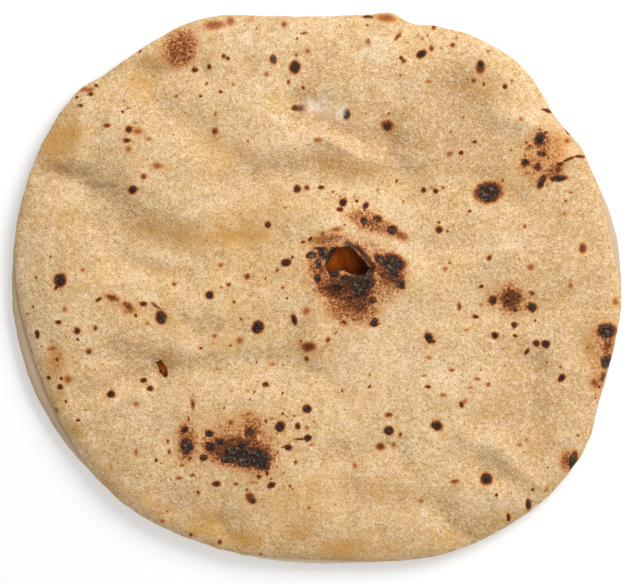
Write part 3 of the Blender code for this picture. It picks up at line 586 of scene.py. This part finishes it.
def wall_ring(step):
    """One ring of the side wall: an arc from under the seam out to the rim, down and under."""
    t = step / WALL_STEPS
    widest = arc_weights(WALL_WIDEST)

    def place(degrees):
        rim, out = rim_radius(degrees), bulge(degrees)
        start = rim - out - WALL_TUCK[0] - WALL_TUCK[1] * out
        height = seam_height(degrees) - WALL_DROP[0] - WALL_DROP[1] * out
        weights = arc_weights(t)
        under = rim * CONTACT_SHARE
        full = (rim - widest[0] * start - widest[3] * under) / (widest[1] + widest[2])
        radii = (start, full, full, under)
        radius = sum(w * r for w, r in zip(weights, radii))
        turn = np.radians(degrees)
        ripple = 0.25 * grain(EDGE_CIRCLE * np.cos(turn), EDGE_CIRCLE * np.sin(turn), 9.0, 6.0 + t)
        return radius - np.abs(ripple) * math.sin(math.pi * t), (weights[0] + weights[1]) * height
    return place


def underside_height(x, y):
    """The lower skin touches the surface in a broad field and lifts a little elsewhere."""
    share = np.hypot(x, y) / (CONTACT_SHARE * around(RIM, np.degrees(np.arctan2(y, x))))
    lift = 0.35 * np.maximum(0, grain(x, y, 16.0, 12.5)) + 0.08 * np.maximum(0, grain(x, y, 4.0, 7.7))
    return lift * np.clip((1 - share) * 6, 0, 1)


def outer_skin(under_marks):
    """Top skin, seam lip, side wall and underside as one closed surface, in mm."""
    shape = bmesh.new()
    round_grid(shape, TOP_CELLS, seam_radius)
    refine(shape, CHARRED + DARK + BROWN + RUSTY, 0.5)
    refine(shape, CHARRED + DARK, 0.3)
    refine(shape, OPENING_FIELDS, 1.0)
    x, y = plan_of(shape.verts)
    set_places(shape.verts, x, y, top_height(x, y))
    for out, down in LIP_STEPS:
        add_ring(shape, border(shape),
                 lambda degrees: (seam_radius(degrees) + out, seam_height(degrees) + down))
    for step in range(WALL_STEPS + 1):
        add_ring(shape, border(shape), wall_ring(step))
    inner_share = CONTACT_SHARE - UNDERSIDE_INSET
    under = round_grid(shape, UNDER_CELLS, lambda degrees: inner_share * rim_radius(degrees))
    bmesh.ops.translate(shape, vec=(0, 0, WORK_LEVEL), verts=under)
    refine(shape, under_marks, 0.5, WORK_LEVEL)
    under = [vert for vert in shape.verts if abs(vert.co.z - WORK_LEVEL) < 1e-4]
    x, y = plan_of(under)
    set_places(under, x, y, underside_height(x, y))
    bmesh.ops.bridge_loops(shape, edges=border(shape))
    return shape


def pocket():
    """The hollow between the skins, in mm."""
    shape = bmesh.new()

    def radius_at(degrees):
        return POCKET_SHARE * seam_radius(degrees)

    round_grid(shape, POCKET_CELLS, radius_at)
    refine(shape, OPENING_FIELDS, 4.0)
    refine(shape, OPENING_FIELDS, 1.5)
    x, y = plan_of(shape.verts)
    share = np.minimum(1.0, np.hypot(x, y) / radius_at(np.degrees(np.arctan2(y, x))))
    arch = np.sqrt(np.maximum(0.0, 1.0 - share**POCKET_ARCH_POWER))
    roof = top_height(x, y, fine=False) - SKIN
    set_places(shape.verts, x, y, POCKET_EDGE_HEIGHT + (roof - POCKET_EDGE_HEIGHT) * arch)
    for share, height in POCKET_FLOOR_RINGS:
        add_ring(shape, border(shape),
                 lambda degrees: (share * seam_radius(degrees), np.full_like(degrees, height)))
    inner_share, flat = POCKET_FLOOR_RINGS[-1]
    round_grid(shape, POCKET_CELLS, lambda degrees: inner_share * seam_radius(degrees))
    refine(shape, OPENING_FIELDS, 4.0)
    bottom = [vert for vert in shape.verts if abs(vert.co.z) < 1e-4]
    x, y = plan_of(bottom)
    rise = 0.25 * grain(x, y, 7.0, 4.1) * np.clip((LEVEL_FLOOR_RADIUS - np.hypot(x, y)) / 10, 0, 1)
    for pillow_x, pillow_y, spread, height in PILLOWS:
        rise += height * np.exp(-(np.hypot(x - pillow_x, y - pillow_y) / spread) ** 2)
    set_places(bottom, x, y, flat + rise)
    bmesh.ops.remove_doubles(shape, verts=shape.verts, dist=0.02)
    return shape


def torn_prism(outline, raggedness, depth):
    """An upright prism whose outline follows the torn edge with small teeth, in mm."""
    points = []
    for (ax, ay), (bx, by) in zip(outline, outline[1:] + outline[:1]):
        pieces = max(1, round(math.hypot(bx - ax, by - ay) / TOOTH))
        for i in range(pieces):
            x, y = ax + (bx - ax) * i / pieces, ay + (by - ay) * i / pieces
            points.append((x + raggedness * noise.noise((x * 1.6, y * 1.6, 2.0)),
                           y + raggedness * noise.noise((x * 1.6, y * 1.6, 7.0))))
    shape = bmesh.new()
    middle = np.mean(outline, axis=0)
    bottom = top_height(*middle.reshape(2, 1))[0] - depth
    face = shape.faces.new([shape.verts.new((x, y, bottom)) for x, y in points])
    made = bmesh.ops.extrude_face_region(shape, geom=[face])["geom"]
    lifted = [item for item in made if isinstance(item, bmesh.types.BMVert)]
    bmesh.ops.translate(shape, vec=(0, 0, CUT_TOP - bottom), verts=lifted)
    return shape


def as_object(name, shape, material):
    bmesh.ops.recalc_face_normals(shape, faces=shape.faces)
    mesh = bpy.data.meshes.new(name)
    shape.to_mesh(mesh)
    shape.free()
    mesh.materials.append(material)
    obj = bpy.data.objects.new(name, mesh)
    bpy.context.scene.collection.objects.link(obj)
    return obj


def carve(body, tools):
    """Subtract the tools from the body and leave a plain mesh; the tools are removed."""
    for tool in tools:
        step = body.modifiers.new(tool.name, "BOOLEAN")
        step.operation = "DIFFERENCE"
        step.solver = "EXACT"
        step.material_mode = "TRANSFER"
        step.object = tool
    graph = bpy.context.evaluated_depsgraph_get()
    carved = bpy.data.meshes.new_from_object(body.evaluated_get(graph), depsgraph=graph)
    body.modifiers.clear()
    body.data = carved
    for tool in tools:
        bpy.data.objects.remove(tool, do_unlink=True)


# ---- Toasting, kept on the mesh as attributes ----

def toasting(x, y, levels):
    """How far each point is baked, from 0 plain to 1 charred, and how speckled that is."""
    warped_x = x + 0.3 * grain(x, y, 1.6, 11.0)
    warped_y = y + 0.3 * grain(x, y, 1.6, 15.0)
    baked, speckled = np.zeros_like(x), np.zeros_like(x)
    for marks, level in levels:
        for _, close, off, size in nearby(marks, warped_x, warped_y, 2.5):
            soft = min(2.2, 0.2 + 0.26 * size) * (1.5 if level < 0.5 else 1.0)
            depth = np.clip((soft - off) / (2 * soft), 0, 1)
            cover = depth * depth * (3 - 2 * depth)
            baked[close] = np.maximum(baked[close], level * cover)
            loose = min(1.0, max(0.15, (size - 2.0) / 3.5))
            speckled[close] = np.maximum(speckled[close], loose * np.minimum(1, 2 * cover))
    return baked, speckled


def scorched_edges(x, y):
    """The openings' edges, burnt where the steam broke out and browned round the tear."""
    hole = along_line(BURST_HOLE + BURST_HOLE[:1], 0.95, 0.45, 0.45, x, y)
    lip = along_line(CREASES[0][0], 0.8, 1.0, 0.7, x, y)
    tear = along_line(SMALL_TEAR + SMALL_TEAR[:1], 0.3, 0.3, 0.3, x, y)
    return np.maximum(np.maximum(hole, lip), tear)


def field_of(patches, x, y):
    """Soft overlapping patches, with wandering edges."""
    warped_x = x + 2.2 * grain(x, y, 7.0, 21.0) + 0.8 * grain(x, y, 2.5, 23.0)
    warped_y = y + 2.2 * grain(x, y, 7.0, 25.0) + 0.8 * grain(x, y, 2.5, 27.0)
    rest = np.ones_like(x)
    for patch, close, off, narrow in nearby(patches, warped_x, warped_y, 12.0):
        share = off / (narrow / 2) + 1
        rest[close] *= 1 - patch[5] * np.exp(-share**2)
    return 1 - rest


def underside_marks():
    """Scattered griddle marks for the lower skin, in the same groups as the top's."""
    rng = np.random.default_rng(19)
    levels = []
    for (count, smallest, largest), (_, level) in zip(UNDER_MARKS, BAKED_LEVELS):
        group = []
        for _ in range(count):
            radius = UNDER_MARK_REACH * math.sqrt(rng.random())
            turn = rng.random() * 2 * math.pi
            size = smallest + (largest - smallest) * rng.random() ** 2.5
            group.append((radius * math.cos(turn), radius * math.sin(turn), size,
                          size * (0.55 + 0.45 * rng.random()), 180 * rng.random()))
        levels.append((tuple(group), level))
    return levels


def add_fields(mesh, under_levels):
    """Writes the bread's fields of toasting, tone, flour and wall on its points."""
    places = np.empty(len(mesh.vertices) * 3)
    mesh.vertices.foreach_get("co", places)
    x, y, z = (axis.copy() for axis in places.reshape(-1, 3).T)
    degrees = np.degrees(np.arctan2(y, x))
    beside = np.hypot(x, y) > TOASTED_SHARE * seam_radius(degrees)
    wall = np.where(beside, np.clip((seam_height(degrees) - 0.3 - z) / 0.3, 0, 1), 0.0)
    wall = np.where(z < WALL_HEIGHT, 1.0, wall)
    top, under = 1 - wall, np.clip((UNDER_TOP - z) / UNDER_FADE, 0, 1)
    baked, speckled = toasting(x, y, BAKED_LEVELS)
    baked_under, speckled_under = toasting(x, y, under_levels)
    fields = {
        "baked": np.maximum(baked, scorched_edges(x, y)) * top + baked_under * under,
        "speckled": speckled * top + speckled_under * under,
        "golden": field_of(GOLDEN, x, y) * top + 0.35 * under,
        "dusky": field_of(DUSKY, x, y) * top,
        "pale": field_of(PALE, x, y) * top,
        "sprinkled": (0.04 + 0.7 * field_of(SPRINKLED, x, y)) * top + 0.3 * under,
        "flour_and_highlight": field_of(FLOUR_AND_LIP_HIGHLIGHT, x, y) * top,
        "wall": wall * (1 - under),
    }
    for name, values in fields.items():
        layer = mesh.attributes.new(name, "FLOAT", "POINT")
        layer.data.foreach_set("value", values.astype(np.float32))


# ---- Materials ----

def colour(code):
    """An sRGB hex colour as linear RGBA."""
    parts = [int(code[i:i + 2], 16) / 255 for i in (1, 3, 5)]
    linear = [c / 12.92 if c <= 0.04045 else ((c + 0.055) / 1.055) ** 2.4 for c in parts]
    return (*linear, 1.0)


def feed(tree, node, inputs):
    """Sets a node's inputs: each to a value or a hex colour, or by a link from a node or output."""
    for key, value in inputs.items():
        named = [socket for socket in node.inputs if socket.enabled and socket.name == key]
        socket = node.inputs[key] if isinstance(key, int) else named[0]
        if isinstance(value, str):
            value = colour(value)
        if isinstance(value, bpy.types.Node):
            value = [out for out in value.outputs if out.enabled][0]
        if isinstance(value, bpy.types.NodeSocket):
            tree.links.new(value, socket)
        else:
            socket.default_value = value


def add_node(tree, kind, inputs, stops=(), **settings):
    """Adds a node with its settings, a ramp's stops and its inputs."""
    node = tree.nodes.new("ShaderNode" + kind)
    for name, value in settings.items():
        setattr(node, name, value)
    for i, (at, shade) in enumerate(stops):
        elements = node.color_ramp.elements
        stop = elements[i] if i < 2 else elements.new(at)
        stop.position, stop.color = at, colour(shade)
    feed(tree, node, inputs)
    return node


def new_material(name):
    """A material, ways to add its nodes and to set its shader, and the place in millimetres."""
    material = bpy.data.materials.new(name)
    material.use_nodes = True
    tree = material.node_tree
    add = partial(add_node, tree)
    middle = add("TexCoord", {}).outputs["Object"]
    place = add("Mapping", {"Vector": middle, "Scale": (1000, 1000, 1000)})
    return material, add, partial(feed, tree, tree.nodes["Principled BSDF"]), place


def toasted_dough():
    """Wholemeal dough griddled dry: dull, sandy with bran, ochre to charred where it toasted."""
    material, add, set_shader, place = new_material("toasted_dough")
    baked, speckled, golden, dusky, pale, sprinkled, flour_and_highlight, wall = (
        add("Attribute", {}, attribute_name=name).outputs["Fac"]
        for name in ("baked", "speckled", "golden", "dusky", "pale", "sprinkled", "flour_and_highlight", "wall"))

    # lumps of tone, by size in mm, detail, roughness and distortion
    broad, tint, blotch, mottle, sand, dust, grit = (
        add("TexNoise", {"Vector": place, "Scale": 1 / size, "Detail": detail, "Roughness": rough,
                         "Distortion": bend})
        for size, detail, rough, bend in (
            (17.0, 2.0, 0.5, 0.0), (9.0, 3.0, 0.55, 0.6), (5.0, 3.0, 0.6, 0.3), (2.4, 2.0, 0.55, 0.0),
            (1.15, 3.0, 0.6, 0.0), (0.45, 2.0, 0.6, 0.0), (0.8, 4.0, 0.75, 0.0)))

    skin = add("ValToRGB", {0: broad}, ((0.35, "#CDA86E"), (0.65, "#DBB680")))

    # layers of tone: what sets it, where it starts and is full, its strength and colour
    layers = (
        (tint, 0.50, 0.66, 0.6, "#D6AF69"), (tint, 0.48, 0.34, 0.55, "#DCBA90"),
        (blotch, 0.50, 0.36, 0.5, "#C99F6B"), (blotch, 0.52, 0.66, 0.4, "#EACDA9"),
        # the dusky layer is partly painted shade over dents and along folds
        (dusky, 0.0, 1.0, 0.85, "#AC8251"), (pale, 0.0, 1.0, 0.55, "#EDD1AE"),
        (mottle, 0.50, 0.34, 0.32, "#BC8F56"), (mottle, 0.52, 0.68, 0.30, "#EFD4AF"),
        (sand, 0.50, 0.30, 0.52, "#A97A42"), (sand, 0.52, 0.70, 0.48, "#F3DBB9"),
        (dust, 0.48, 0.32, 0.52, "#93683A"), (dust, 0.52, 0.68, 0.48, "#F8E6CC"),
        (golden, 0.0, 1.0, 0.74, "#C38A36"),
    )
    for source, start, full, strength, shade in layers:
        mask = add("MapRange", {"Value": source, "From Min": start, "From Max": full, "To Max": strength})
        skin = add("Mix", {"Factor": mask, "A": skin, "B": shade}, data_type="RGBA")

    # flecks of bran, a third of a millimetre wide
    flecks = add("TexVoronoi", {"Vector": place, "Scale": 1 / 2.1})
    picked = add("MapRange", {"Value": flecks.outputs["Color"], "From Min": 0.45, "From Max": 0.6,
                              "To Max": 0.8})
    small = add("MapRange", {"Value": flecks.outputs["Distance"], "From Min": 0.19, "From Max": 0.08})
    fleck = add("Math", {0: picked, 1: small}, operation="MULTIPLY")

    # the wall that never touched the griddle: smooth and greyish, with painted light that makes it paler
    # at the front, where it faces away from the key light
    plain = add("ValToRGB", {0: broad}, ((0.3, "#BFA585"), (0.7, "#C9B092")))
    across = add("SeparateXYZ", {"Vector": place})
    painted_light_front = add("MapRange", {"Value": across.outputs["Y"], "From Min": -45.0, "From Max": -78.0})
    plain = add("Mix", {"Factor": painted_light_front, "A": plain, "B": "#E4CAAC"}, data_type="RGBA")

    # fine rusty dots: one in some of the cells of a 1.5 mm pattern
    dots = add("TexVoronoi", {"Vector": place, "Scale": 1 / 1.5})
    shades = add("SeparateColor", {"Color": dots.outputs["Color"]})
    luck = add("Math", {0: shades.outputs["Red"], 1: sprinkled}, operation="ADD")
    lucky = add("MapRange", {"Value": luck, "From Min": 0.97, "From Max": 1.35, "To Max": 0.8})
    reach = add("Math", {0: shades.outputs["Green"], 1: 0.2, 2: 0.08}, operation="MULTIPLY_ADD")
    inside = add("Math", {0: reach, 1: dots.outputs["Distance"]}, operation="SUBTRACT")
    round_dot = add("MapRange", {"Value": inside, "From Min": -0.06, "From Max": 0.08})
    dot = add("Math", {0: lucky, 1: round_dot}, operation="MULTIPLY")

    # toasting, broken up by the grain of the dough where a patch is only half baked
    unbaked = add("Math", {0: 1.0, 1: baked}, operation="SUBTRACT")
    half = add("Math", {0: baked, 1: unbaked}, operation="MULTIPLY")
    loose = add("Math", {0: half, 1: speckled}, operation="MULTIPLY")
    coarse = add("MapRange", {"Value": grit, "From Min": 0.34, "From Max": 0.66, "To Min": -1.15,
                              "To Max": 1.15})
    swing = add("Math", {0: loose, 1: coarse, 2: baked}, operation="MULTIPLY_ADD")
    level = add("Math", {0: swing, 1: dot}, operation="MAXIMUM")
    toast = add("ValToRGB", {0: level},
                ((0.0, "#CF9A60"), (0.2, "#BF7F45"), (0.33, "#A0602F"), (0.48, "#71391A"),
                 (0.66, "#4C2814"), (0.9, "#2C1B11")))
    cover = add("MapRange", {"Value": level, "From Min": 0.03, "From Max": 0.28})

    # ash glints on the charred crust
    charred = add("MapRange", {"Value": level, "From Min": 0.6, "From Max": 0.85})
    ash = add("MapRange", {"Value": sand, "From Min": 0.5, "From Max": 0.7, "To Max": 0.75})
    crusty = add("Math", {0: speckled, 1: 0.15}, operation="ADD", use_clamp=True)
    ash = add("Math", {0: ash, 1: crusty}, operation="MULTIPLY")
    glint = add("Math", {0: charred, 1: ash}, operation="MULTIPLY")

    # dry flour, and a painted highlight along the lip above the burst hole
    powder = add("MapRange", {"Value": mottle, "From Min": 0.38, "From Max": 0.6, "To Min": 0.1,
                              "To Max": 0.8})
    floured_and_highlit = add("Math", {0: flour_and_highlight, 1: powder}, operation="MULTIPLY")

    # all of these laid over the skin in turn
    for mask, shade in ((fleck, "#8A5A30"), (wall, plain), (cover, toast), (glint, "#84705A"),
                        (floured_and_highlit, "#EFE2D0")):
        skin = add("Mix", {"Factor": mask, "A": skin, "B": shade}, data_type="RGBA")

    # charred crust is a little glossier than dry dough
    rough = add("MapRange", {"Value": level, "From Min": 0.3, "From Max": 0.8, "To Min": 0.78,
                             "To Max": 0.5})

    # relief: sandy grain on the skin, cracked lumps on the char, little on the wall
    grains = add("Math", {0: dust, 1: 0.3, 2: sand}, operation="MULTIPLY_ADD")
    softer = add("Math", {0: 1.0, 1: wall}, operation="SUBTRACT")
    grains = add("Math", {0: grains, 1: softer}, operation="MULTIPLY")
    cracks = add("TexVoronoi", {"Vector": place, "Scale": 0.9}, feature="DISTANCE_TO_EDGE")
    crust = add("Math", {0: cracks, 1: charred}, operation="MULTIPLY")
    height = add("Math", {0: crust, 1: 2.4, 2: grains}, operation="MULTIPLY_ADD")
    bump = add("Bump", {"Strength": 0.7, "Distance": 0.0005, "Height": height})
    set_shader({"Base Color": skin, "Roughness": rough, "Specular IOR Level": 0.2, "Normal": bump})
    return material


def pocket_lining():
    """The inner face of the skins: smooth and faintly glossy, painted orange-brown for the warm light
    that shines in through the toasted skin.
    """
    material, add, set_shader, place = new_material("pocket_lining")
    streak = add("TexNoise", {"Vector": place, "Scale": 1 / 3.0, "Detail": 3.0, "Distortion": 0.6})
    tone = add("ValToRGB", {0: streak}, ((0.3, "#D65814"), (0.75, "#F89040"), (0.55, "#EA7020")))
    # painted shade: darker on the right, where the pocket runs deeper under the skin
    across = add("SeparateXYZ", {"Vector": place})
    painted_shade_right = add("MapRange", {"Value": across.outputs["X"], "From Min": 9.5, "From Max": 14.5,
                            "To Max": 0.85})
    tone = add("Mix", {"Factor": painted_shade_right, "A": tone, "B": "#3A1204"}, data_type="RGBA")
    wrinkle = add("TexNoise", {"Vector": place, "Scale": 1 / 1.5, "Detail": 3.0})
    bump = add("Bump", {"Strength": 0.3, "Distance": 0.0003, "Height": wrinkle})
    set_shader({"Base Color": tone, "Roughness": 0.5, "Specular IOR Level": 0.15, "Normal": bump})
    return material


def torn_edge():
    """The broken edge of the top skin round the openings: dry, scorched and greyish."""
    material, add, set_shader, place = new_material("torn_edge")
    crumb = add("TexNoise", {"Vector": place, "Scale": 1 / 0.6, "Detail": 3.0, "Roughness": 0.7})
    tone = add("ValToRGB", {0: crumb}, ((0.3, "#1E120A"), (0.7, "#6E4A2C"), (0.5, "#3A2213")))
    bump = add("Bump", {"Strength": 0.6, "Distance": 0.0003, "Height": crumb})
    set_shader({"Base Color": tone, "Roughness": 0.7, "Normal": bump})
    return material


# ---- The bread ----

def bread():
    under_levels = underside_marks()
    shape = outer_skin(sum((marks for marks, _ in under_levels[:4]), ()))
    body = as_object("chapati_bread", shape, toasted_dough())
    lining, edge = pocket_lining(), torn_edge()
    carve(body, [as_object("pocket_tool", pocket(), lining),
                 as_object("burst_tool", torn_prism(BURST_HOLE, 0.5, 2.6), edge),
                 as_object("tear_tool", torn_prism(SMALL_TEAR, 0.25, 1.95), edge)])
    mesh = body.data
    add_fields(mesh, under_levels)
    mesh.transform(Matrix.Translation((*SHIFT, 0.0)))
    mesh.transform(Matrix.Scale(MM, 4))
    mesh.shade_smooth()
    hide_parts("chapati")
    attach(body, "root")


# ---- Setting ----

def floor():
    """A plain pale table that glows a little, so that shadows on it stay light."""
    shape = bmesh.new()
    bmesh.ops.create_grid(shape, x_segments=1, y_segments=1, size=3.0)
    material = bpy.data.materials.new("white_floor")
    material.use_nodes = True
    tree = material.node_tree
    feed(tree, tree.nodes["Principled BSDF"], {
        "Base Color": (0.65, 0.65, 0.65, 1.0), "Roughness": 0.9,
        "Emission Color": (1.0, 1.0, 1.0, 1.0), "Emission Strength": 0.31})
    plane = as_object("floor", shape, material)
    plane.location.z = LOW.z - 0.0002    # a hair below the bread


def area_light(name, place, size, power):
    light = bpy.data.lights.new(name, "AREA")
    light.shape = "DISK"
    light.size = size
    light.energy = power
    lamp = bpy.data.objects.new(name, light)
    lamp.location = place
    lamp.rotation_euler = (-Vector(place)).to_track_quat("-Z", "Y").to_euler()
    bpy.context.scene.collection.objects.link(lamp)


def lights():
    area_light("key", (0.52, 0.56, 0.78), 0.7, 10.4)
    area_light("overhead", (0.0, 0.0, 1.6), 1.2, 3.5)
    world = bpy.data.worlds.new("studio")
    world.use_nodes = True
    tree = world.node_tree
    feed(tree, tree.nodes["Background"], {"Color": (1.0, 1.0, 1.0, 1.0), "Strength": 0.45})
    bpy.context.scene.world = world
    bpy.context.scene.view_settings.view_transform = "Standard"


def camera():
    """Straight above the bread through a long lens."""
    bread_share = 0.953              # of the picture's width that the bread fills
    aside, below = 0.0053, -0.0074   # picture's middle from the bread's, in bread widths
    seam_level = 0.006
    width = HIGH.x - LOW.x
    data = bpy.data.cameras.new("camera")
    data.lens = 240.0
    distance = width / bread_share * data.lens / data.sensor_width
    eye = bpy.data.objects.new("camera", data)
    eye.location = (aside * width, below * width, seam_level + distance)
    bpy.context.scene.collection.objects.link(eye)
    bpy.context.scene.camera = eye


bread()
floor()
lights()
camera()
